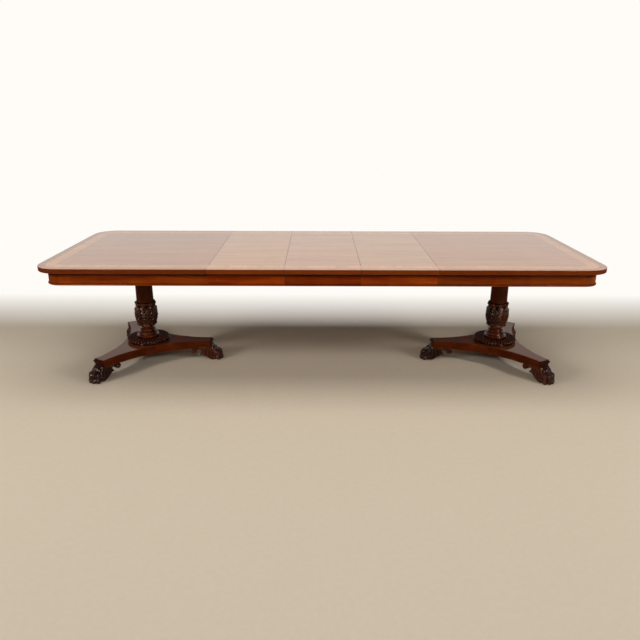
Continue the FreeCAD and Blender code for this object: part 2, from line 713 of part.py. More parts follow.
def table_pieces():
    """All nodes of the table, by name."""
    nodes = {}
    for name, shape in half_pieces().items():
        nodes["right_" + name] = shape
        nodes["left_" + name] = shape.mirror(ORIGIN, X_AXIS)
    for half in ("left", "right"):
        nodes[half + "_front_slide_rail"] = half_rail(half, -1)
        nodes[half + "_back_slide_rail"] = half_rail(half, 1)
    nodes["centre_front_slide_rail"] = centre_rail(-1)
    nodes["centre_back_slide_rail"] = centre_rail(1)
    nodes["centre_cross_tie"] = cross_tie()
    for index in range(LEAF_COUNT):
        leaf = "leaf_%d_" % (index + 1)
        nodes[leaf + "panel"] = leaf_panel(index)
        nodes[leaf + "satinwood_bands"] = leaf_bands(index, BAND_GLUE_LINE)
        nodes[leaf + "front_apron"] = leaf_apron(index, -1)
        nodes[leaf + "back_apron"] = leaf_apron(index, 1)
        nodes[leaf + "beads"] = leaf_beads(index)
    return nodes


os.makedirs("parts", exist_ok=True)
for node, shape in table_pieces().items():
    shape.exportStep("parts/%s.step" % node)
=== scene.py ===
"""Looks of the double pedestal dining table: wood finishes, carved pieces, light and camera.

Blender objects are in metres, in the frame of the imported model. Carved pieces are worked out in
millimetres about their own pedestal's axis, or along their own arm, and scaled when meshed.
"""
import math

import bpy
import numpy as np
from mathutils import Matrix, Vector


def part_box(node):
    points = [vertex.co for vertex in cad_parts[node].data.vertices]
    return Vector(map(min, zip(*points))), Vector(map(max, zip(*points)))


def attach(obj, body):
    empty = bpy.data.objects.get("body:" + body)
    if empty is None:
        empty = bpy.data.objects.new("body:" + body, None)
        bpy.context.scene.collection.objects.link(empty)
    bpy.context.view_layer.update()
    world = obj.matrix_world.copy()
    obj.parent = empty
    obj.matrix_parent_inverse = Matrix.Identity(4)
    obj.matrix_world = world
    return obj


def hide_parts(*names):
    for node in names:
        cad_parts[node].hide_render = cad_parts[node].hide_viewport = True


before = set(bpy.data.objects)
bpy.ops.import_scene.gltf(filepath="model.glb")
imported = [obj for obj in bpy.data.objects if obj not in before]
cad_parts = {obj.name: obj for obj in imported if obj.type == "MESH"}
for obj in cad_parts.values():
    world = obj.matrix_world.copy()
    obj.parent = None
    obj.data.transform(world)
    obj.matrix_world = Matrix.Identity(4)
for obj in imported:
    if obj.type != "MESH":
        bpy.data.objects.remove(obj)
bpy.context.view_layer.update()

MM = 0.001
SIGNS = {"left": -1, "right": 1}
LEAF_NAMES = ("leaf_1", "leaf_2", "leaf_3")
LENGTHWISE, CROSSWISE, UPRIGHT = range(3)

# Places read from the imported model, in metres
TOP_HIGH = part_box("right_top")[1]
BAND_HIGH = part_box("right_satinwood_band")[1]
PLATFORM_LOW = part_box("right_platform")[0]
VASE_LOW, VASE_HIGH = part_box("right_carved_vase")
DISC_LOW, DISC_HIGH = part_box("right_gadrooned_base")
FOOT_LOW, FOOT_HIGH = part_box("right_inner_foot")
APRON_LOW, APRON_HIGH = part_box("right_end_apron")
PEDESTAL_X = (VASE_LOW.x + VASE_HIGH.x) / 2

# Layout of the top, in metres
TOP_CORNER_RADIUS = 0.134
BAND_INSET = TOP_HIGH.x - BAND_HIGH.x
BAND_WIDTH = 0.063
STRINGING_HALF_WIDTH = 0.0006
# Fades of the painted shadow under the top's overhang and of the painted shade in the quirk over the bead
PAINTED_SHADOW_FADE = (0.032, 0.012)
QUIRK_FADE = (0.0045, 0.002)
SEAM_HALF_WIDTH = 0.0014
SEAM_PLACES = [abs(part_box(leaf)[0].x) for leaf in ("leaf_1_panel", "leaf_2_panel")]

# Carving layout about a pedestal, in millimetres
ARM_REACH = (PEDESTAL_X - PLATFORM_LOW.x) / MM
ARM_UNDERSIDE = PLATFORM_LOW.z / MM
FOOT_REACH = (PEDESTAL_X - FOOT_LOW.x) / MM
FOOT_CROWN = FOOT_HIGH.z / MM
ARM_ANGLES = {"inner": 180.0, "front": -60.0, "back": 60.0}
HALF_ARM_TURN = math.radians(60)
BORE_RADIUS = 8.5


# Shader building

def srgb(red, green, blue):
    """Linear colour of an 8-bit display colour."""
    def linear(value):
        share = value / 255
        return share / 12.92 if share <= 0.04045 else ((share + 0.055) / 1.055) ** 2.4
    return (linear(red), linear(green), linear(blue), 1.0)


class Nodes:
    """A node tree, with a short call for each kind of node used here."""

    def __init__(self, tree):
        self.tree = tree

    def node(self, kind, inputs, **settings):
        made = self.tree.nodes.new(kind)
        for key, value in settings.items():
            setattr(made, key, value)
        for key, value in inputs.items():
            self.feed(made.inputs[key], value)
        return made

    def feed(self, socket, value):
        if isinstance(value, bpy.types.NodeSocket):
            self.tree.links.new(value, socket)
        else:
            socket.default_value = value

    def math(self, operation, first, second=0.0, third=0.0):
        inputs = {0: first, 1: second, 2: third}
        return self.node("ShaderNodeMath", inputs, operation=operation).outputs[0]

    def add(self, first, second):
        return self.math("ADD", first, second)

    def times(self, first, second):
        return self.math("MULTIPLY", first, second)

    def minus(self, first, second):
        return self.math("SUBTRACT", first, second)

    def gap(self, first, second):
        """Distance between two numbers."""
        return self.math("ABSOLUTE", self.minus(first, second))

    def reach(self, first, second):
        """Length of a vector in the plane."""
        return self.math("SQRT", self.add(self.times(first, first), self.times(second, second)))

    def split(self, vector):
        return self.node("ShaderNodeSeparateXYZ", {0: vector}).outputs

    def place(self):
        """X, Y and Z in the piece's own space, which for a CAD node is the table's at rest."""
        return self.split(self.node("ShaderNodeTexCoord", {}).outputs["Object"])

    def normal(self):
        """X, Y and Z of the surface normal."""
        return self.split(self.node("ShaderNodeNewGeometry", {}).outputs["Normal"])

    def facing_up(self):
        """Height of the surface normal: 1 on a level top, -1 on an underside."""
        return self.normal()[UPRIGHT]

    def noise(self, x, y, z, detail, distortion=0.0):
        vector = self.node("ShaderNodeCombineXYZ", {0: x, 1: y, 2: z}).outputs[0]
        inputs = {"Vector": vector, "Scale": 1.0, "Detail": detail, "Distortion": distortion}
        return self.node("ShaderNodeTexNoise", inputs).outputs[0]

    def even_noise(self, scale, detail):
        """Noise of one scale in every direction, in the piece's own space."""
        x, y, z = self.place()
        return self.noise(self.times(x, scale), self.times(y, scale), self.times(z, scale), detail)

    def ramp(self, factor, stops):
        made = self.node("ShaderNodeValToRGB", {"Fac": factor})
        elements = made.color_ramp.elements
        stops = list(stops)
        while len(elements) < len(stops):
            elements.new(0.5)
        for element, (position, colour) in zip(elements, stops):
            element.position = position
            element.color = colour
        return made.outputs[0]

    def spread(self, value, low, high, out_low=0.0, out_high=1.0):
        """Value between two limits, moved to two other limits and held there."""
        inputs = {0: value, 1: low, 2: high, 3: out_low, 4: out_high}
        return self.node("ShaderNodeMapRange", inputs).outputs[0]

    def choose(self, factor, first, second):
        """Number between two numbers."""
        return self.node("ShaderNodeMix", {0: factor, 2: first, 3: second}, data_type="FLOAT").outputs[0]

    def mix(self, factor, first, second, blend="MIX"):
        """Colour between two colours."""
        inputs = {0: factor, 6: first, 7: second}
        return self.node("ShaderNodeMix", inputs, data_type="RGBA", blend_type=blend).outputs[2]

    def tint(self, colour, shade):
        """Colour seen through another colour."""
        return self.mix(1.0, colour, shade, "MULTIPLY")

    def light_path(self, *rays):
        """1 for rays of any of the named kinds."""
        path = self.node("ShaderNodeLightPath", {}).outputs
        seen = 0.0
        for ray in rays:
            seen = self.math("MAXIMUM", seen, path["Is %s Ray" % ray])
        return seen


class Finish(Nodes):
    """Node tree of one material round its surface shader."""

    def __init__(self, name):
        self.material = bpy.data.materials.new(name)
        self.material.use_nodes = True
        super().__init__(self.material.node_tree)
        self.surface = self.tree.nodes["Principled BSDF"]

    def set(self, **values):
        """Sets sockets of the surface shader, named with underscores for spaces."""
        for key, value in values.items():
            self.feed(self.surface.inputs[key.replace("_", " ")], value)

    def bump(self, height, strength, distance):
        inputs = {"Height": height, "Strength": strength, "Distance": distance}
        self.set(Normal=self.node("ShaderNodeBump", inputs).outputs[0])


# Woods, each with a dark, a middle and a light tone

def tones(middle, contrast):
    """Three tones of one wood about its middle one."""
    return [tuple(channel * share for channel in middle[:3]) + (1.0,)
            for share in (1 - contrast, 1.0, 1 + contrast)]


def shaded(colours, red, green, blue):
    """Tones of the same wood scaled per channel, for another board and for painted shade and light where
    noted.
    """
    return [(tone[0] * red, tone[1] * green, tone[2] * blue, 1.0) for tone in colours]


FIELD_CONTRAST = 0.13
FIELD_COLOURS = {"left": srgb(159, 112, 83), "right": srgb(165, 117, 84), "leaf_1": srgb(176, 131, 96),
                 "leaf_2": srgb(174, 129, 99), "leaf_3": srgb(174, 132, 98)}
BAND_CONTRAST = 0.16
BAND_COLOURS = {"left": srgb(181, 129, 86), "right": srgb(183, 131, 90), "leaf": srgb(191, 139, 97)}
APRON_TONES = (srgb(100, 31, 4), srgb(134, 53, 12), srgb(160, 73, 20))
APRON_SHIFTS = {"left": (0.98, 1.02, 0.5), "leaf_1": (1.20, 1.06, 0.3), "leaf_2": (0.76, 0.60, 0.2),
                "leaf_3": (1.04, 0.95, 0.5), "right": (0.94, 1.12, 0.9)}
# Corner blocks: partly their own tone; the left one is darkened as painted shade, the right one lifted
# towards grey as a painted reflection
CORNER_TONE_SHADE_AND_SHEEN = {"left": (0.72, 0.75, 0.42), "right": (0.88, 1.39, 2.3)}
COLUMN_TONES = (srgb(44, 18, 8), srgb(74, 33, 14), srgb(102, 49, 21))
COLLAR_TONES = shaded(COLUMN_TONES, 1.15, 0.85, 0.7)
PLATFORM_TONES = (srgb(52, 20, 7), srgb(77, 31, 11), srgb(98, 43, 17))
CARVING_TONES = (srgb(30, 11, 6), srgb(52, 20, 10), srgb(76, 33, 18))
DISC_TONES = shaded(CARVING_TONES, 0.7, 0.66, 0.65)
# Paws: the carving's tones darkened, a painted shade for the front lamps' direct light on the feet
PAW_TONES_PAINTED_SHADE = shaded(CARVING_TONES, 0.78, 0.68, 0.62)
BEECH_TONES = (srgb(170, 130, 90), srgb(196, 158, 116), srgb(216, 182, 142))
STEEL_TONES = (srgb(112, 110, 106), srgb(168, 166, 160))
# The border along the front and back is painted lighter than at the ends, a painted sheen of the
# crossbanding
END_BORDER_SHADE = srgb(232, 222, 214)
LONG_BORDER_TINT_AND_SHEEN = srgb(255, 248, 238)
EDGE_SHADE = srgb(166, 104, 46)
UNDERSIDE_SHADE = srgb(158, 118, 84)
STRINGING_SHADE = srgb(72, 42, 28)
SEAM_SHADE = srgb(58, 26, 12)
END_GRAIN_SHADE = srgb(150, 140, 130)
# Painted shadow under the top's overhang and painted shade in the quirk over the bead
PAINTED_SHADOW_TINT = srgb(136, 98, 40)
RECESS_SHADE = srgb(10, 4, 3)
WORN_SHADE = srgb(142, 74, 44)
# Painted sheen on the level tops of the outer platform arms
OUTER_ARM_SHEEN_TINT = srgb(108, 58, 24)

# Grain: scale along and across it, per metre, then detail and distortion
FIGURE_GRAIN = (1.4, 14.0, 4.0, 0.9)
FIBRE_GRAIN = (6.0, 190.0, 3.0, 0.3)
PORE_GRAIN = (60.0, 1100.0, 1.0, 0.0)
RIBBON_GRAIN = (9.0, 2.5, 2.0, 0.6)
FIGURE_SHARE = 0.56
FIBRE_SHARE = 0.26
RIBBON_SHARE = 0.18
TONE_STOPS = (0.34, 0.50, 0.66)
FIBRE_LIMITS = (0.3, 0.7)
PORE_LIMITS = (0.60, 0.74)
PORE_DARKNESS = 0.45
FIBRE_HEIGHT = 0.3
PORE_DEPTH = 0.7
GRAIN_BUMP = (0.2, 0.0002)

# Polish. Limits are shares of the surface normal, upward or along the grain
POLISH_IOR = 1.5
SMOOTHER = 0.05
ROUGHER = 0.07
TOP_COAT = 1.0
EDGE_COAT = 0.08
LEVEL_LIMITS = (0.2, 0.9)
EDGE_LIMITS = (0.9, 0.5)
UNDERSIDE_LIMITS = (-0.5, -0.9)
END_GRAIN_LIMITS = (0.7, 0.95)
CARVED_LEVEL_LIMITS = (0.3, 0.9)
CARVED_ROUGHNESS = (0.30, 0.55)
CARVED_GLOSS = 0.09

# Wear and age, with painted shade in the apron's quirk and a painted sheen on the outer arms' tops.
# Limits are metres inward of a pedestal's axis, noise, or the depth of a recess
QUIRK_PAINTED_SHADE = 0.5
OUTER_ARM_LIMITS = (0.15, -0.05)
OUTER_ARM_SHEEN_SHARE = 0.7
OUTER_ARM_COAT = 0.5
INNER_ARM_COAT = 0.07
MOTTLE_SCALE = 60.0
MOTTLE_LIMITS = (0.2, 0.5)
MOTTLE_IN_RECESS = 0.15
RECESS_LIMITS = (0.0, 0.8)
WORN_LIMITS = (-0.1, -1.0)

# Steel. Stops and limits are noise
STAIN_SCALE = 220.0
STAIN_STOPS = (0.35, 0.7)
STAIN_LIMITS = (0.3, 0.7)
STEEL_ROUGHNESS = (0.28, 0.5)
STEEL_BUMP = (0.1, 0.0002)


def grain(finish, along, across, depth, seed):
    """Noise fields of one wood, stretched along its grain: broad figure, fibre and pores."""
    def field(length_scale, width_scale, detail, distortion):
        lengthwise = finish.math("MULTIPLY_ADD", along, length_scale, seed)
        sideways = finish.times(across, width_scale)
        inward = finish.times(depth, width_scale)
        return finish.noise(lengthwise, sideways, inward, detail, distortion)

    return field(*FIGURE_GRAIN), field(*FIBRE_GRAIN), field(*PORE_GRAIN)


def wood(finish, along, across, depth, colours, seed, roughness=0.34, coat=0.07, gloss=0.10):
    """Sets a polished wood on the finish and returns its colour, for more to be mixed in."""
    figure, fibre, pores = grain(finish, along, across, depth, seed)
    ribbon_length, ribbon_width, detail, distortion = RIBBON_GRAIN
    ribbon = finish.noise(finish.times(along, ribbon_length), finish.times(across, ribbon_width), seed,
                          detail, distortion)
    blend = finish.add(finish.times(fibre, FIBRE_SHARE), finish.times(ribbon, RIBBON_SHARE))
    blend = finish.add(finish.times(figure, FIGURE_SHARE), blend)
    colour = finish.ramp(blend, zip(TONE_STOPS, colours))
    open_pores = finish.spread(pores, *PORE_LIMITS)
    colour = finish.mix(finish.times(open_pores, PORE_DARKNESS), colour, colours[0])
    rough = finish.spread(fibre, *FIBRE_LIMITS, roughness - SMOOTHER, roughness + ROUGHER)
    finish.set(Base_Color=colour, Roughness=rough, Coat_Weight=coat, Coat_Roughness=gloss,
               Coat_IOR=POLISH_IOR, Specular_IOR_Level=0.0)
    relief = finish.minus(finish.times(fibre, FIBRE_HEIGHT), finish.times(open_pores, PORE_DEPTH))
    finish.bump(relief, *GRAIN_BUMP)
    return colour


def straight_wood(finish, colours, axis, seed, **polish):
    """Sets a wood whose grain runs along one axis of the table and returns its colour."""
    across = list(finish.place())
    along = across.pop(axis)
    return wood(finish, along, *across, colours, seed, **polish)


def inset_from_outline(finish):
    """Distance in from the table top's outline, the run along the nearest edge, and 1 at an end."""
    x, y, _ = finish.place()
    past_x = finish.minus(finish.math("ABSOLUTE", x), TOP_HIGH.x - TOP_CORNER_RADIUS)
    past_y = finish.minus(finish.math("ABSOLUTE", y), TOP_HIGH.y - TOP_CORNER_RADIUS)
    out_x = finish.math("MAXIMUM", past_x, 0.0)
    out_y = finish.math("MAXIMUM", past_y, 0.0)
    inner = finish.math("MINIMUM", finish.math("MAXIMUM", past_x, past_y), 0.0)
    inset = finish.minus(TOP_CORNER_RADIUS, finish.add(finish.reach(out_x, out_y), inner))
    at_end = finish.math("GREATER_THAN", past_x, past_y)
    return inset, finish.choose(at_end, x, y), at_end


def top_wood(name, colours, seed):
    """Top of a half or a leaf: a lengthwise field in a crossbanded border, with fine stringing."""
    finish = Finish(name)
    x, y, z = finish.place()
    inset, run, at_end = inset_from_outline(finish)
    in_field = finish.math("GREATER_THAN", inset, BAND_INSET + BAND_WIDTH / 2)
    along = finish.choose(in_field, inset, x)
    across = finish.choose(in_field, run, y)
    colour = wood(finish, along, across, z, colours, seed)
    # Border tinted, and lighter along the front and back as a painted sheen
    border_tint_and_sheen = finish.mix(at_end, LONG_BORDER_TINT_AND_SHEEN, END_BORDER_SHADE)
    colour = finish.mix(in_field, finish.tint(colour, border_tint_and_sheen), colour)
    for place in (BAND_INSET, BAND_INSET + BAND_WIDTH):
        stringing = finish.math("LESS_THAN", finish.gap(inset, place), STRINGING_HALF_WIDTH)
        colour = finish.mix(stringing, colour, STRINGING_SHADE)
    for place in SEAM_PLACES:
        beside = finish.gap(finish.math("ABSOLUTE", x), place)
        dark_joint_and_painted_shadow = finish.spread(beside, SEAM_HALF_WIDTH, SEAM_HALF_WIDTH / 2)
        colour = finish.mix(dark_joint_and_painted_shadow, colour, SEAM_SHADE)
    up = finish.facing_up()
    colour = finish.mix(finish.spread(up, *EDGE_LIMITS), colour, finish.tint(colour, EDGE_SHADE))
    colour = finish.mix(finish.spread(up, *UNDERSIDE_LIMITS), colour, UNDERSIDE_SHADE)
    finish.set(Base_Color=colour, Coat_Weight=finish.spread(up, *LEVEL_LIMITS, EDGE_COAT, TOP_COAT))
    return finish.material


def satinwood(name, colours):
    """Crossbanded satinwood: its grain runs square to the nearest edge."""
    finish = Finish(name)
    inset, run, _ = inset_from_outline(finish)
    wood(finish, inset, run, 0.0, colours, seed=3.0, coat=TOP_COAT)
    return finish.material


def board_wood(name, colours, axis, seed, **polish):
    """Wood whose grain runs along one axis of the table, darker on its end grain."""
    finish = Finish(name)
    colour = straight_wood(finish, colours, axis, seed, **polish)
    at_end = finish.math("ABSOLUTE", finish.normal()[axis])
    end_grain = finish.tint(colour, END_GRAIN_SHADE)
    finish.set(Base_Color=finish.mix(finish.spread(at_end, *END_GRAIN_LIMITS), colour, end_grain))
    return finish.material


def apron_wood(name, colours, axis, seed):
    """Apron mahogany, with painted shadow close under the top and painted shade in the quirk over the
    bead.
    """
    finish = Finish(name)
    colour = straight_wood(finish, colours, axis, seed)
    height = finish.place()[UPRIGHT]
    # Painted shadow under the top's overhang, and painted shade in the quirk over the bead
    under_top = finish.spread(finish.minus(APRON_HIGH.z, height), *PAINTED_SHADOW_FADE)
    over_bead = finish.spread(finish.gap(height, APRON_LOW.z), *QUIRK_FADE, 0.0, QUIRK_PAINTED_SHADE)
    dark_joint_and_painted_shadow = finish.math("MAXIMUM", under_top, over_bead)
    finish.set(Base_Color=finish.mix(dark_joint_and_painted_shadow, colour, finish.tint(colour, PAINTED_SHADOW_TINT)))
    return finish.material


def platform_wood(name):
    """Platform of three jointed arms: the grain follows the nearest arm."""
    finish = Finish(name)
    x, y, z = finish.place()
    out = finish.minus(PEDESTAL_X, finish.math("ABSOLUTE", x))
    angle = finish.math("ARCTAN2", y, out)
    beside = finish.math("WRAP", angle, HALF_ARM_TURN, -HALF_ARM_TURN)
    reach = finish.reach(out, y)
    along = finish.times(reach, finish.math("COSINE", beside))
    across = finish.times(reach, finish.math("SINE", beside))
    colour = wood(finish, along, across, z, PLATFORM_TONES, finish.minus(angle, beside))
    # Painted sheen: the level tops of the outer arms are painted lighter for the bright reflection they
    # catch, and they take more coat
    level = finish.spread(finish.facing_up(), *LEVEL_LIMITS)
    outer_arm = finish.spread(out, *OUTER_ARM_LIMITS)
    painted_sheen = finish.times(finish.times(level, outer_arm), OUTER_ARM_SHEEN_SHARE)
    coat = finish.times(level, finish.choose(outer_arm, INNER_ARM_COAT, OUTER_ARM_COAT))
    finish.set(Base_Color=finish.mix(painted_sheen, colour, OUTER_ARM_SHEEN_TINT), Coat_Weight=coat)
    return finish.material


def carved_wood(name, colours, wear, coat, level_coat):
    """Carved mahogany: dark polish left in the recesses, lighter where hands and cloths rub."""
    finish = Finish(name)
    colour = straight_wood(finish, colours, UPRIGHT, 1.0, gloss=CARVED_GLOSS)
    cavity = finish.node("ShaderNodeAttribute", {}, attribute_name="cavity").outputs["Fac"]
    mottle = finish.even_noise(MOTTLE_SCALE, 3.0)
    recess = finish.spread(finish.add(cavity, finish.times(mottle, MOTTLE_IN_RECESS)), *RECESS_LIMITS)
    worn = finish.times(finish.spread(cavity, *WORN_LIMITS), finish.spread(mottle, *MOTTLE_LIMITS))
    colour = finish.mix(finish.times(worn, wear), colour, WORN_SHADE)
    colour = finish.mix(recess, colour, RECESS_SHADE)
    finish.set(Base_Color=colour, Roughness=finish.spread(recess, 0.0, 1.0, *CARVED_ROUGHNESS),
               Coat_Weight=finish.spread(finish.facing_up(), *CARVED_LEVEL_LIMITS, coat, level_coat))
    return finish.material


def steel(name):
    """Plain zinc-dulled steel of the rods and screws."""
    finish = Finish(name)
    stain = finish.even_noise(STAIN_SCALE, 4.0)
    finish.set(Base_Color=finish.ramp(stain, zip(STAIN_STOPS, STEEL_TONES)),
               Roughness=finish.spread(stain, *STAIN_LIMITS, *STEEL_ROUGHNESS), Metallic=1.0)
    finish.bump(stain, *STEEL_BUMP)
    return finish.material


WOODS = {
    "end_apron": apron_wood("mahogany_apron_end", APRON_TONES, CROSSWISE, 5.0),
    "column": board_wood("mahogany_column", COLUMN_TONES, UPRIGHT, 2.0),
    "collar": board_wood("mahogany_collar", COLLAR_TONES, UPRIGHT, 4.0, coat=0.55, gloss=0.05),
    "platform": platform_wood("mahogany_platform"),
    "carving": carved_wood("mahogany_carving", CARVING_TONES, wear=0.45, coat=0.21, level_coat=0.06),
    "disc": carved_wood("mahogany_disc", DISC_TONES, wear=0.25, coat=0.3, level_coat=0.10),
    "paw": carved_wood("mahogany_paw", PAW_TONES_PAINTED_SHADE, wear=0.25, coat=0.42, level_coat=0.3),
    "beech": board_wood("beech_slides", BEECH_TONES, LENGTHWISE, 6.0, roughness=0.55, coat=0.0),
    "steel": steel("steel_hardware"),
}
for seed, (part, shift) in enumerate(APRON_SHIFTS.items(), start=11):
    colours = shaded(APRON_TONES, *shift)
    WOODS[part + "_apron"] = apron_wood("mahogany_apron_" + part, colours, LENGTHWISE, seed)
for seed, (part, shift) in enumerate(CORNER_TONE_SHADE_AND_SHEEN.items(), start=17):
    colours = shaded(APRON_TONES, *shift)
    WOODS[part + "_corner"] = apron_wood("mahogany_corner_" + part, colours, UPRIGHT, seed)
for seed, (part, colour) in enumerate(FIELD_COLOURS.items(), start=7):
    WOODS[part + "_top"] = top_wood("mahogany_top_" + part, tones(colour, FIELD_CONTRAST), 3.0 * seed)
for part, colour in BAND_COLOURS.items():
    WOODS[part + "_band"] = satinwood("satinwood_" + part, tones(colour, BAND_CONTRAST))

# Finish of each node, by the end of its name; the first word that fits counts
FINISH_OF = {
    "left_satinwood_band": "left_band", "right_satinwood_band": "right_band",
    "satinwood_bands": "leaf_band", "end_apron": "end_apron",
    "left_apron_corners": "left_corner", "right_apron_corners": "right_corner",
    "slide_rail": "beech", "cross_tie": "beech", "glue_blocks": "beech", "head_plate": "beech",
    "column": "column", "turned_collar": "collar", "platform": "platform", "arm_scrolls": "carving",
    "carved_vase": "carving", "gadrooned_base": "disc", "foot": "paw", "tie_rod": "steel",
}
SHARP_ANGLE = math.radians(32)


def owner(node):
    """The half or leaf that a node belongs to."""
    return next(name for name in (*SIGNS, *LEAF_NAMES) if node.startswith(name + "_"))


def finish_of(node):
    """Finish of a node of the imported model."""
    for ending, finish in FINISH_OF.items():
        if node.endswith(ending):
            return WOODS[finish]
    kind = "_top" if node.endswith(("_top", "_panel")) else "_apron"
    return WOODS[owner(node) + kind]


def dress(node, piece):
    """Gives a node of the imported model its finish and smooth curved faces."""
    piece.data.materials.clear()
    piece.data.materials.append(finish_of(node))
    piece.data.shade_smooth()
    piece.data.set_sharp_from_angle(angle=SHARP_ANGLE)


for node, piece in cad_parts.items():
    dress(node, piece)


# Carving tools

CURVE_OVERSAMPLING = 8
RELIEF_BLUR = 80


def smoothstep(low, high, value):
    """Smooth rise from 0 at the first limit to 1 at the second."""
    share = np.clip((value - low) / (high - low), 0.0, 1.0)
    return share * share * (3 - 2 * share)


def smooth_line(corners, samples):
    """Evenly sampled Catmull-Rom curve through corners of a profile, each a radius and a height."""
    corners = np.array(corners, float)
    padded = np.vstack([2 * corners[0] - corners[1], corners, 2 * corners[-1] - corners[-2]])
    place = np.linspace(0, len(corners) - 1, samples * CURVE_OVERSAMPLING)
    start = np.minimum(place.astype(int), len(corners) - 2)
    t = (place - start)[:, None]
    before, first, second, after = (padded[start + step] for step in range(4))
    bend = 2 * before - 5 * first + 4 * second - after
    twist = 3 * first - before - 3 * second + after
    curve = 0.5 * (2 * first + (second - before) * t + bend * t ** 2 + twist * t ** 3)
    run = np.concatenate([[0], np.cumsum(np.linalg.norm(np.diff(curve, axis=0), axis=1))])
    even = np.linspace(0, run[-1], samples)
    return np.stack([np.interp(even, run, curve[:, axis]) for axis in (0, 1)], axis=1)


def blurred(field, passes, wrap):
    """Field averaged with its neighbours, round the edge on the axes that wrap."""
    for _ in range(passes):
        for axis in range(field.ndim):
            ahead = np.roll(field, -1, axis)
            behind = np.roll(field, 1, axis)
            if axis not in wrap:
                last = [slice(None)] * field.ndim
                last[axis] = -1
                ahead[tuple(last)] = field[tuple(last)]
                last[axis] = 0
                behind[tuple(last)] = field[tuple(last)]
            field = (ahead + behind + 2 * field) / 4
    return field


def carved_mesh(name, points, faces, cavity, finish):
    """Mesh of carved points in millimetres, with the depth of its recesses as an attribute."""
    mesh = bpy.data.meshes.new(name)
    mesh.from_pydata((points * MM).tolist(), [], faces.tolist())
    mesh.attributes.new("cavity", "FLOAT", "POINT").data.foreach_set("value", cavity.astype(np.float32))
    mesh.materials.append(WOODS[finish])
    mesh.shade_smooth()
    mesh.update()
    return mesh


def turned_carving(name, profile, relief, recess_depth, finish):
    """Ring-shaped mesh of a turned profile, raised by a relief of rows by columns."""
    columns = relief.shape[1]
    tangent = np.gradient(profile, axis=0)
    normal = np.stack([tangent[:, 1], -tangent[:, 0]], 1)
    normal /= np.linalg.norm(normal, axis=1)[:, None]
    turn = np.linspace(0, 2 * math.pi, columns, endpoint=False)
    radius = profile[:, :1] + relief * normal[:, :1]
    height = profile[:, 1:] + relief * normal[:, 1:]
    outer = np.stack([radius * np.cos(turn), radius * np.sin(turn), height], 2)
    ends = []
    for row in (outer[0], outer[-1]):
        level = np.full(columns, row[:, 2].mean())
        ends.append(np.stack([BORE_RADIUS * np.cos(turn), BORE_RADIUS * np.sin(turn), level], 1))
    points = np.concatenate([ends[0][None], outer, ends[1][None]])
    cavity = np.zeros(points.shape[:2])
    cavity[1:-1] = (blurred(relief, RELIEF_BLUR, (1,)) - relief) / recess_depth
    index = np.arange(points.shape[0] * columns).reshape(-1, columns)
    beside = np.roll(index, -1, 1)
    faces = np.stack([index, beside, np.roll(beside, -1, 0), np.roll(index, -1, 0)], 2)
    return carved_mesh(name, points.reshape(-1, 3), faces.reshape(-1, 4), cavity.ravel(), finish)


# Carved vase: three tiers of acanthus leaves on a turned blank

VASE_ROWS = 220
VASE_COLUMNS = 400
VASE_RECESS = 1.4
VASE_CARVING_START = (0.06, 0.12)
VASE_CARVING_END = (0.95, 0.90)
LEAVES_ROUND = 8
LOBES_PER_LEAF = 4.5
LEAST_LEAF_RADIUS = 50.0
VASE_BASE = VASE_LOW.z / MM
VASE_HEIGHT = (VASE_HIGH.z - VASE_LOW.z) / MM


def acanthus(across, rise, low, high, width, lift, curl):
    """Relief of one tier's leaf: lobed edge, midrib, slanting veins and a tip that curls out."""
    along = np.clip((rise - low) / (high - low), 0.0, 1.0)
    lobes = 0.80 + 0.20 * np.abs(np.cos(LOBES_PER_LEAF * math.pi * along))
    half_width = width / 2 * np.sin(math.pi * np.clip(along, 0.02, 0.985) ** 0.8) ** 0.7 * lobes
    share = np.abs(across) / np.maximum(half_width, 0.01)
    body = smoothstep(1.04, 0.80, share) * ((rise > low) & (rise < high))
    cup = 0.62 + 0.38 * share ** 2
    midrib = 0.55 * np.exp(-(across / (0.07 * width)) ** 2) * (1 - 0.6 * along)
    veins = 0.20 * np.cos(2 * math.pi * (LOBES_PER_LEAF * along - 0.9 * share))
    tip = curl * smoothstep(0.72, 1.0, along) * (1 - 0.5 * np.clip(share, 0, 1) ** 2)
    return body * (lift * (cup + midrib + veins) + tip)


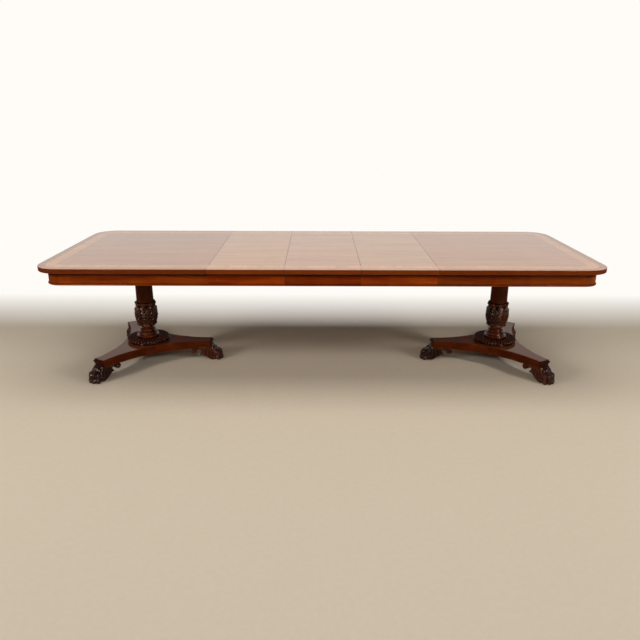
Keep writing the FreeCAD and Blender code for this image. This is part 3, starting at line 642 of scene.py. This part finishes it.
def vase_mesh():
    """Vase of three tiers of leaves, with curled tips round its lip and its foot."""
    top = VASE_HEIGHT
    profile = smooth_line([
        (40, 0), (50, 0.6), (57, 3), (60, 8), (59, 13), (56.5, 18), (58.5, 27), (63.5, 42), (67, 60),
        (68.5, 78), (67, 98), (63.5, 116), (60, top - 27), (58.5, top - 20), (60, top - 12),
        (62, top - 6), (60, top - 1), (54, top), (44, top)], VASE_ROWS)
    turn = np.linspace(0, 2 * math.pi, VASE_COLUMNS, endpoint=False)[None, :]
    rise = profile[:, 1:]
    pitch = 2 * math.pi / LEAVES_ROUND

    def across(offset):
        """Distance sideways from the middle of the nearest leaf."""
        beside = (turn + offset * pitch + pitch / 2) % pitch - pitch / 2
        return beside * np.maximum(profile[:, :1], LEAST_LEAF_RADIUS)

    def curls(offset, level, height, width, depth):
        """Round knobs where leaf tips turn over."""
        return depth * np.exp(-(across(offset) / width) ** 4 - (np.abs(rise - level) / height) ** 3)

    relief = np.maximum.reduce([
        acanthus(across(0.0), rise, low=66.0, high=top - 2, width=50.0, lift=3.2, curl=1.0),
        acanthus(across(0.5), rise, low=20.0, high=122.0, width=52.0, lift=4.6, curl=3.5),
        acanthus(across(0.0), rise, low=12.0, high=78.0, width=46.0, lift=5.4, curl=3.0),
        curls(0.0, level=top - 11, height=11.0, width=15.0, depth=7.0),
        curls(0.5, level=top - 9, height=7.0, width=9.0, depth=3.5),
        curls(0.5, level=8.0, height=7.0, width=13.0, depth=4.0)])
    place = np.linspace(0, 1, VASE_ROWS)
    on_side = smoothstep(*VASE_CARVING_START, place) * smoothstep(*VASE_CARVING_END, place)
    relief *= on_side[:, None]
    return turned_carving("carved_vase", profile + [0, VASE_BASE], relief, VASE_RECESS, "carving")


# Gadrooned disc: a shallow dome with swelling lobes out to its rim

DISC_LOBES = 40
DISC_COLUMNS_PER_LOBE = 16
DISC_ROWS = 96
DISC_RECESS = 1.2
LOBE_HEIGHT = 6.0
LOBE_SINK = 3.4
LOBE_SWELL = 3.0
LOBE_ROUNDNESS = 0.95
LOBE_LENGTH = 57.0
LOBE_FADE = 13.0
DOME_START = (11.4, 13.5)
DISC_BASE = DISC_LOW.z / MM
DISC_HEIGHT = (DISC_HIGH.z - DISC_LOW.z) / MM
DISC_REACH = (DISC_HIGH.x - DISC_LOW.x) / 2 / MM


def disc_mesh():
    """Dome of radial lobes with round ends over a plain step."""
    rim = DISC_REACH - LOBE_SWELL
    top = DISC_HEIGHT
    profile = smooth_line([
        (rim - 7, 0), (rim - 2, 0.3), (rim - 1.2, 2), (rim - 1.2, 8), (rim - 2, 10.4), (rim - 7, 11.2),
        (rim - 5, 12.8), (rim - 0.8, 15.5), (rim, 18.5), (rim - 2, 22), (rim - 8, 24.4), (rim - 22, 26),
        (rim - 40, top - 0.8), (rim - 54, top), (rim - 62, top), (46, top)], DISC_ROWS)
    columns = DISC_LOBES * DISC_COLUMNS_PER_LOBE
    beside = (np.arange(columns) % DISC_COLUMNS_PER_LOBE + 0.5) / DISC_COLUMNS_PER_LOBE * 2 - 1
    lobe = np.sqrt(1 - LOBE_ROUNDNESS * beside ** 2)
    inner = rim - LOBE_LENGTH
    on_dome = smoothstep(*DOME_START, profile[:, 1]) * smoothstep(inner, inner + LOBE_FADE, profile[:, 0])
    relief = on_dome[:, None] * (LOBE_HEIGHT * lobe[None, :] - LOBE_SINK)
    return turned_carving("gadrooned_disc", profile + [0, DISC_BASE], relief, DISC_RECESS, "disc")


# Paw foot: a signed distance field, meshed on a fine grid, with x out along the arm and z up

FOOT_STEP = 1.2
FOOT_HALF_WIDTH = 54.0
FOOT_RECESS = 1.5
FOOT_BLUR = 16
FOOT_BLUR_REACH = 8.0
FOOT_SMOOTHING = 6
TOES = ((-33.0, 49.0), (-11.5, 62.0), (11.5, 62.0), (33.0, 49.0))
LOCKS = (-40.0, -27.0, -13.5, 0.0, 13.5, 27.0, 40.0)
LEAF_LOBES = (346.0, 363.0, 380.0, 397.0)
LEAF_LOBE_RADIUS = 11.0
LEAF_OVERLAP = 4.2
FLUTES_PER_HALF_TURN = 14
FLUTE_DEPTH = 3.6
SCROLL_CENTRE = (ARM_REACH - 110, ARM_UNDERSIDE - 19)
SCROLL_RADIUS = 17.5
SCROLL_HALF_WIDTH = 40.0
SPIRAL_PITCH = 8.5
GROOVE_DEPTH = 3.4
EYE_RISE = 1.5
STRAP_HALF_WIDTH = 37.0
REED_PITCH = 12.0
REED_DEPTH = 1.2
ARM_HOLLOW_CENTRE = (406.9, 704.8)
ARM_HOLLOW_RADIUS = 666.8
ARM_CLEARANCE = 0.4


def smooth_union(first, second, blend):
    """Distance to two forms joined by a fillet."""
    share = np.clip(0.5 + 0.5 * (second - first) / blend, 0.0, 1.0)
    return second + (first - second) * share - blend * share * (1 - share)


def ellipsoid(place, centre, radii):
    """Distance to a rounded form with three radii."""
    offset = [(axis - middle) / radius for axis, middle, radius in zip(place, centre, radii)]
    reach = np.sqrt(sum(value ** 2 for value in offset))
    slope = np.sqrt(sum((value / radius) ** 2 for value, radius in zip(offset, radii)))
    return reach * (reach - 1) / np.maximum(slope, 1e-6)


def rod(place, start, start_radius, end, end_radius):
    """Tapered rod with round ends, in the plane or in space."""
    run = [b - a for a, b in zip(start, end)]
    length_squared = sum(value ** 2 for value in run)
    along = sum((axis - a) * value for axis, a, value in zip(place, start, run))
    share = np.clip(along / length_squared, 0.0, 1.0)
    gap = np.sqrt(sum((axis - a - share * value) ** 2 for axis, a, value in zip(place, start, run)))
    return gap - start_radius - (end_radius - start_radius) * share


def slab(flat, side, half_width, rounding):
    """A flat outline's distance, thickened to both sides with rounded edges."""
    beyond = flat + rounding
    aside = np.abs(side) - half_width + rounding
    outside = np.hypot(np.maximum(beyond, 0), np.maximum(aside, 0))
    return np.minimum(np.maximum(beyond, aside), 0) + outside - rounding


def arm_half_width(x):
    """Half-width of the arm over the foot, between the hollow sides of the platform."""
    return ARM_HOLLOW_CENTRE[1] - np.sqrt(ARM_HOLLOW_RADIUS ** 2 - (x - ARM_HOLLOW_CENTRE[0]) ** 2)


def paw_field(place):
    """Blunt paw with four toes and claws under long locks of hair."""
    end = ARM_REACH
    field = rod(place, (end + 6, 0, 68), 26, (end + 32, 0, 36), 33)
    field = smooth_union(field, ellipsoid(place, (end + 26, 0, 20), (42, 43, 26)), 10)
    for side, out in TOES:
        instep = (end + out - 28, side * 0.80, 66)
        knuckle = (end + out - 5, side * 0.97, 49)
        toe = smooth_union(rod(place, instep, 8.5, knuckle, 13),
                           rod(place, knuckle, 13, (end + out, side, 34), 11.5), 3)
        tip = ellipsoid(place, (end + out + 1, side * 1.02, 14), (13.5, 12, 16.5))
        claw = rod(place, (end + out + 7, side * 1.03, 19), 6.0, (end + out + 14, side * 1.06, 4), 3.0)
        field = smooth_union(field, smooth_union(smooth_union(toe, tip, 2), claw, 1), 2.5)
    for side in LOCKS:
        fall = (side / LOCKS[-1]) ** 2
        root = (end - 4, side * 0.62, FOOT_CROWN - 12 - 5 * fall)
        bend = (end + 30 - 13 * fall, side * 0.88, 83 - 15 * fall)
        point = (end + 53 - 20 * fall, side * 1.02, 60 - 26 * fall)
        lock = smooth_union(rod(place, root, 7.4, bend, 7.4), rod(place, bend, 7.4, point, 1.4), 5)
        field = smooth_union(field, lock, 1.2)
    heel = rod(place, (end + 10, -28, 10), 13, (end + 10, 28, 10), 13)
    neck = rod(place, (end + 6, -27, 84), 13, (end + 6, 27, 84), 13)
    return smooth_union(smooth_union(field, heel, 6), neck, 3)


def leaf_bracket_field(place):
    """Leaf behind the paw: its lobes lap up over the arm's sides, its tip points in and down."""
    x, y, z = place
    flat = (x, z)
    end = ARM_REACH
    leaf = rod(flat, (end + 4, 54), 30, (end - 40, 64), 18)
    leaf = smooth_union(leaf, rod(flat, (end - 36, 58), 16, (end - 65, 44), 5), 5)
    leaf = smooth_union(leaf, rod(flat, (end + 2, 24), 20, (end - 40, 48), 14), 6)
    for lobe in LEAF_LOBES:
        leaf = np.minimum(leaf, np.hypot(x - lobe, z - ARM_UNDERSIDE - 3) - LEAF_LOBE_RADIUS)
    fan = np.arctan2(z - ARM_UNDERSIDE - 70, x - end + 8)
    flute = np.abs(np.sin(FLUTES_PER_HALF_TURN * fan))
    half_width = arm_half_width(np.minimum(x, end)) + LEAF_OVERLAP - FLUTE_DEPTH * (1 - flute)
    return slab(leaf, y, half_width, 3)


def scroll_field(place):
    """Scroll at the bracket's inner end, with a spiral groove and an eye, and its strap."""
    x, y, z = place
    out = x - SCROLL_CENTRE[0]
    up = z - SCROLL_CENTRE[1]
    reach = np.hypot(out, up)
    turn = np.arctan2(up, -out) / (2 * math.pi)
    spiral = (reach / SPIRAL_PITCH - turn) % 1.0
    groove = np.exp(-((spiral - 0.5) / 0.16) ** 2) * smoothstep(4.5, 6.5, reach)
    eye = smoothstep(5.5, 3.5, reach)
    half_width = SCROLL_HALF_WIDTH - GROOVE_DEPTH * groove + EYE_RISE * eye
    scroll = slab(reach - SCROLL_RADIUS, y, half_width, 2.5)
    strap = rod((x, z), (SCROLL_CENTRE[0], ARM_UNDERSIDE - 6), 7, (ARM_REACH - 30, ARM_UNDERSIDE - 6), 9)
    reeds = 1 - np.abs(np.cos(y * math.pi / REED_PITCH))
    return smooth_union(scroll, slab(strap + REED_DEPTH * reeds, y, STRAP_HALF_WIDTH, 3), 3)


def foot_field(place):
    """The whole foot, kept clear of the floor, the arm and the moulding on the arm's end."""
    x, y, z = place
    field = smooth_union(paw_field(place), leaf_bracket_field(place), 3)
    field = smooth_union(field, scroll_field(place), 3)
    beside_arm = np.abs(y) - arm_half_width(np.minimum(x, ARM_REACH)) - ARM_CLEARANCE
    in_arm = np.maximum(np.maximum(x - ARM_REACH, ARM_UNDERSIDE - z), beside_arm)
    field = np.maximum(field, -in_arm)
    return np.maximum(np.maximum(field, -z), z - FOOT_CROWN)


def surface_net(field, origin, step):
    """Points and faces of a sampled field's zero surface, and each point's cell."""
    inside = field < 0
    cells = tuple(size - 1 for size in field.shape)
    corners = [(i, j, k) for i in (0, 1) for j in (0, 1) for k in (0, 1)]

    def at_corner(values, corner):
        return values[tuple(slice(shift, shift + size) for shift, size in zip(corner, cells))]

    filled = sum(at_corner(inside, corner).astype(int) for corner in corners)
    active = np.argwhere((filled > 0) & (filled < 8))
    index = np.full(cells, -1)
    index[tuple(active.T)] = np.arange(len(active))
    total = np.zeros((len(active), 3))
    crossings = np.zeros(len(active))
    for first in corners:
        for axis in range(3):
            if first[axis] == 1:
                continue
            second = tuple(value + (step_axis == axis) for step_axis, value in enumerate(first))
            low = at_corner(field, first)[tuple(active.T)]
            high = at_corner(field, second)[tuple(active.T)]
            crosses = (low < 0) != (high < 0)
            share = np.where(crosses, low / np.where(crosses, low - high, 1), 0)
            spot = np.tile(np.array(first, float), (len(active), 1))
            spot[:, axis] += share
            total += spot * crosses[:, None]
            crossings += crosses
    points = origin + step * (active + total / crossings[:, None])
    faces = []
    for axis in range(3):
        one = (axis + 1) % 3
        two = (axis + 2) % 3
        low = np.take(inside, range(cells[axis]), axis)
        high = np.take(inside, range(1, cells[axis] + 1), axis)
        edges = np.argwhere(low != high)
        within_one = (edges[:, one] > 0) & (edges[:, one] < cells[one])
        within_two = (edges[:, two] > 0) & (edges[:, two] < cells[two])
        edges = edges[within_one & within_two]
        ring = []
        for back_one, back_two in ((1, 1), (0, 1), (0, 0), (1, 0)):
            cell = edges.copy()
            cell[:, one] -= back_one
            cell[:, two] -= back_two
            ring.append(index[tuple(cell.T)])
        quads = np.stack(ring, 1)
        outward = low[tuple(edges.T)]
        faces.append(np.where(outward[:, None], quads, quads[:, ::-1]))
    return points, np.concatenate(faces), active


def relaxed(values, faces, passes):
    """Values at the points, drawn toward their neighbours to take out the steps of the grid."""
    edges = np.concatenate([faces[:, [side, (side + 1) % 4]] for side in range(4)])
    neighbours = np.bincount(edges.ravel(), minlength=len(values))[:, None]
    for _ in range(passes):
        total = np.zeros_like(values)
        np.add.at(total, edges[:, 0], values[edges[:, 1]])
        np.add.at(total, edges[:, 1], values[edges[:, 0]])
        values = (values + total / neighbours) / 2
    return values


def foot_mesh():
    """Foot of one arm, under its end."""
    low = np.array([SCROLL_CENTRE[0] - SCROLL_RADIUS - 6, -FOOT_HALF_WIDTH, -3.0])
    high = np.array([FOOT_REACH + 6, FOOT_HALF_WIDTH, FOOT_CROWN + 3])
    axes = [np.arange(start, end, FOOT_STEP) for start, end in zip(low, high)]
    place = np.meshgrid(*axes, indexing="ij")
    field = foot_field(place)
    points, faces, cells = surface_net(field, low, FOOT_STEP)
    hollow = -blurred(np.clip(field, -FOOT_BLUR_REACH, FOOT_BLUR_REACH), FOOT_BLUR, ()) / FOOT_RECESS
    smooth = relaxed(np.column_stack([points, hollow[tuple(cells.T)]]), faces, FOOT_SMOOTHING)
    return carved_mesh("paw_foot", smooth[:, :3], faces, smooth[:, 3], "paw")


# Screws under the table

SCREW_RADIUS = 4.6
SCREW_SLOT = 0.7
SCREW_SLOT_FLOOR = -0.4
SCREW_COLUMNS = 28
SCREW_SPOTS_ON_RAIL = (60.0, 260.0, 460.0)
HEAD_PLATE_SCREW_INSET = 40.0


def screw_points():
    """Slotted head of a wood screw, its top facing down, as points and faces."""
    reach = np.array([0.0, 0.8, 1.6, 2.6, 3.6, 4.3, SCREW_RADIUS, SCREW_RADIUS])[:, None]
    level = np.array([0.9, 0.9, 0.85, 0.75, 0.55, 0.3, 0.05, -1.0])[:, None]
    turn = np.linspace(0, 2 * math.pi, SCREW_COLUMNS, endpoint=False)
    x = reach * np.cos(turn)
    y = reach * np.sin(turn)
    slotted = (np.abs(y) < SCREW_SLOT) & (level > 0)
    z = -np.where(slotted, SCREW_SLOT_FLOOR, level * np.ones(SCREW_COLUMNS))
    index = np.arange(z.size).reshape(z.shape)
    beside = np.roll(index, -1, 1)
    faces = np.stack([index[:-1], index[1:], beside[1:], beside[:-1]], 2).reshape(-1, 4)
    return np.stack([x, y, z], 2).reshape(-1, 3), faces


def screw_group(name, spots):
    """One mesh of all the screws of a half."""
    points, faces = screw_points()
    every_point = np.concatenate([points + spot for spot in spots])
    every_face = np.concatenate([faces + number * len(points) for number in range(len(spots))])
    mesh = bpy.data.meshes.new(name)
    mesh.from_pydata((every_point * MM).tolist(), [], every_face.tolist())
    mesh.materials.append(WOODS["steel"])
    mesh.shade_smooth()
    mesh.set_sharp_from_angle(angle=SHARP_ANGLE)
    return mesh


def screw_spots(side):
    """Underside places of one half's screws: on its slide rails and its head plate."""
    spots = []
    for rail in ("_front_slide_rail", "_back_slide_rail"):
        low, high = (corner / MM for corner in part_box(side + rail))
        outer_end = low.x if side == "left" else high.x
        for run in SCREW_SPOTS_ON_RAIL:
            spots.append((outer_end - SIGNS[side] * run, (low.y + high.y) / 2, low.z))
    low, high = (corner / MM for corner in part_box(side + "_head_plate"))
    for x in (low.x + HEAD_PLATE_SCREW_INSET, high.x - HEAD_PLATE_SCREW_INSET):
        for y in (low.y + HEAD_PLATE_SCREW_INSET, high.y - HEAD_PLATE_SCREW_INSET):
            spots.append((x, y, low.z))
    return np.array(spots)


# Pieces on both halves

def add_piece(name, mesh, place, body, slot, *replaced):
    """Adds a piece that rides on a body, in place of the nodes that it replaces."""
    piece = bpy.data.objects.new(name, mesh)
    bpy.context.scene.collection.objects.link(piece)
    piece.matrix_world = place
    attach(piece, body)
    if replaced:
        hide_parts(*replaced)


carved_vase = vase_mesh()
gadrooned_disc = disc_mesh()
paw_foot = foot_mesh()
for side, sign in SIGNS.items():
    body = side + "_half"
    axis = Matrix.Translation((sign * PEDESTAL_X, 0, 0))
    add_piece(side + "_vase_carving", carved_vase, axis, body, "mahogany_pedestal", side + "_carved_vase")
    disc = side + "_gadrooned_base"
    add_piece(side + "_disc_carving", gadrooned_disc, axis, body, "mahogany_pedestal", disc)
    for arm, angle in ARM_ANGLES.items():
        heading = math.radians(angle if side == "right" else 180 - angle)
        place = axis @ Matrix.Rotation(heading, 4, "Z")
        foot = side + "_" + arm + "_foot"
        add_piece(foot + "_carving", paw_foot, place, body, "mahogany_pedestal", foot)
    screws = screw_group(side + "_screws", screw_spots(side))
    add_piece(side + "_screws", screws, Matrix.Identity(4), body, "steel")


# Stage: floor, world, lights and camera

FLOOR_COLOUR = srgb(206, 192, 171)
FLOOR_SPECK = srgb(182, 166, 143)
BACKGROUND_COLOUR = srgb(255, 252, 247)
FLOOR_RADIUS = 14.0
FLOOR_SIDES = 96
FLOOR_ROUGHNESS = 0.8
SPECK_SCALE = 40.0
SPECK_SHARE = 0.3
FADE_STRETCH = math.sqrt(0.5)
FLOOR_FADE = (2.6, 6.0)
BACKDROP_FADE = (0.6, 1.5)
AMBIENT = 0.12
DIM_SIDE = 0.10
DIM_LIMITS = (-0.1, 0.4)
HIGHLIGHT_COLOUR = (1.0, 0.84, 0.70)


def studio_floor():
    """Pale floor that keeps the table's shadow and fades to the white background behind it."""
    finish = Finish("studio_floor")
    x, y, _ = finish.place()
    reach = finish.reach(finish.times(x, FADE_STRETCH), y)
    fade = finish.math("MAXIMUM", finish.spread(reach, *FLOOR_FADE), finish.spread(y, *BACKDROP_FADE))
    fade = finish.times(fade, finish.light_path("Camera", "Glossy", "Transmission"))
    speck = finish.times(finish.even_noise(SPECK_SCALE, 5.0), SPECK_SHARE)
    finish.set(Base_Color=finish.mix(speck, FLOOR_COLOUR, FLOOR_SPECK), Roughness=FLOOR_ROUGHNESS,
               Specular_IOR_Level=0.0)
    glow = finish.node("ShaderNodeEmission", {"Color": BACKGROUND_COLOUR, "Strength": 1.0})
    both = finish.node("ShaderNodeMixShader", {0: fade, 1: finish.surface.outputs[0], 2: glow.outputs[0]})
    output = finish.tree.nodes["Material Output"]
    finish.feed(output.inputs["Surface"], both.outputs[0])
    turn = np.linspace(0, 2 * math.pi, FLOOR_SIDES, endpoint=False)
    rim = [(FLOOR_RADIUS * math.cos(angle), FLOOR_RADIUS * math.sin(angle), 0.0) for angle in turn]
    mesh = bpy.data.meshes.new("studio_floor")
    mesh.from_pydata(rim, [], [list(range(len(rim)))])
    mesh.materials.append(finish.material)
    floor = bpy.data.objects.new("studio_floor", mesh)
    bpy.context.scene.collection.objects.link(floor)


def studio_world():
    """Even soft light. The backdrop is white, and reflections see the side before it dimmer."""
    world = bpy.data.worlds.new("studio")
    world.use_nodes = True
    nodes = Nodes(world.node_tree)
    toward_back = nodes.split(nodes.node("ShaderNodeTexCoord", {}).outputs["Generated"])[1]
    mirrored = nodes.spread(toward_back, *DIM_LIMITS, DIM_SIDE, 1.0)
    strength = nodes.choose(nodes.light_path("Glossy", "Transmission"), AMBIENT, mirrored)
    background = world.node_tree.nodes["Background"]
    nodes.feed(background.inputs["Color"], BACKGROUND_COLOUR)
    nodes.feed(background.inputs["Strength"], nodes.choose(nodes.light_path("Camera"), strength, 1.0))
    bpy.context.scene.world = world


def soft_light(name, place, target, width, height, power):
    """Area light that the camera doesn't see."""
    lamp = bpy.data.lights.new(name, "AREA")
    lamp.shape = "RECTANGLE"
    lamp.size = width
    lamp.size_y = height
    lamp.energy = power
    light = bpy.data.objects.new(name, lamp)
    light.location = place
    light.rotation_mode = "QUATERNION"
    light.rotation_quaternion = (Vector(target) - Vector(place)).to_track_quat("-Z", "Y")
    light.visible_camera = False
    bpy.context.scene.collection.objects.link(light)
    return light


def fill_light(name, place, target, width, height, power):
    """Soft light that the polish doesn't mirror."""
    light = soft_light(name, place, target, width, height, power)
    light.visible_glossy = False


def highlight(name, place, target, width, height, power):
    """Warm light that only the polish mirrors."""
    light = soft_light(name, place, target, width, height, power)
    light.data.color = HIGHLIGHT_COLOUR
    light.visible_diffuse = False


def studio_lights():
    """Wide light overhead, one in front and one on each side, and low highlights for the carving."""
    soft_light("overhead_light", (0.0, -0.6, 3.6), (0.0, 0.0, 0.0), width=4.5, height=2.0, power=76)
    fill_light("front_light", (0.0, -4.5, 2.6), (0.0, 0.0, 0.4), width=0.8, height=0.8, power=40)
    for side, sign in SIGNS.items():
        half = (sign, 0.0, 0.4)
        pedestal = (sign, 0.0, 0.2)
        before_half = (sign * 4.2, -2.6, 2.5)
        before_pedestal = (sign * 2.6, -3.4, 0.9)
        past_end = (sign * 4.0, 0.6, 0.6)
        fill_light(side + "_light", before_half, half, width=0.6, height=0.8, power=92)
        highlight(side + "_front_highlight", before_pedestal, pedestal, width=1.0, height=0.4, power=170)
        highlight(side + "_end_highlight", past_end, pedestal, width=0.4, height=0.4, power=8)


# The photograph's viewpoint, in metres and radians
CAMERA_PLACE = (-0.0266, -3.7234, 1.5431)
CAMERA_PITCH = 0.33008
CAMERA_YAW = -0.00386
CAMERA_ROLL = -0.00379
CAMERA_LENS = 33.75
CAMERA_SENSOR = 36.0


def studio_camera():
    """Camera at the photograph's viewpoint."""
    data = bpy.data.cameras.new("camera")
    data.lens = CAMERA_LENS
    data.sensor_width = CAMERA_SENSOR
    camera = bpy.data.objects.new("camera", data)
    level = Matrix.Rotation(CAMERA_YAW, 4, "Z") @ Matrix.Rotation(math.pi / 2 - CAMERA_PITCH, 4, "X")
    camera.matrix_world = Matrix.Translation(CAMERA_PLACE) @ level @ Matrix.Rotation(-CAMERA_ROLL, 4, "Z")
    bpy.context.scene.collection.objects.link(camera)
    bpy.context.scene.camera = camera


studio_floor()
studio_world()
studio_lights()
studio_camera()
bpy.context.scene.view_settings.view_transform = "Standard"
